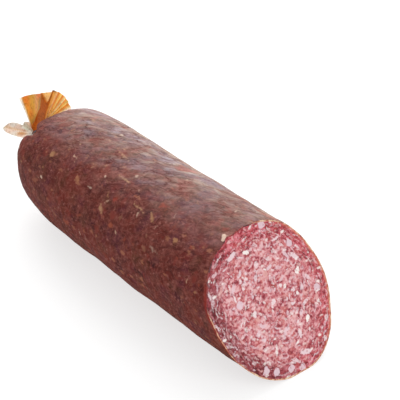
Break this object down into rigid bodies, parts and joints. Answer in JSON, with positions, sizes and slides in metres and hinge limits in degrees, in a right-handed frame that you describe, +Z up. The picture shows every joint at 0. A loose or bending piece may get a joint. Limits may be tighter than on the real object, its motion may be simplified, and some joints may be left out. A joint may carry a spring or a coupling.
{
  "type": "cured sausage",
  "caption": "Cured sausage lying on its side, cut at a slant at one end and gathered, clipped and fanned out at the other.",
  "frame": {"origin": "under the middle of the part's box, on the plane that it rests on", "axes": "+X along the sausage towards the cut face, +Z up"},
  "size_m": [0.2144, 0.0684, 0.0611],
  "materials": {
    "rind_and_meat": "satin dried rind, moist on the cut face",
    "orange_casing": "translucent glossy film",
    "pale_casing": "translucent satin film",
    "clip_metal": "satin"
  },
  "bodies": {
    "root": {"sausage": "rind_and_meat", "casing_tail": "orange_casing", "casing_flap": "pale_casing", "clip": "clip_metal"}
  },
  "joints": []
}
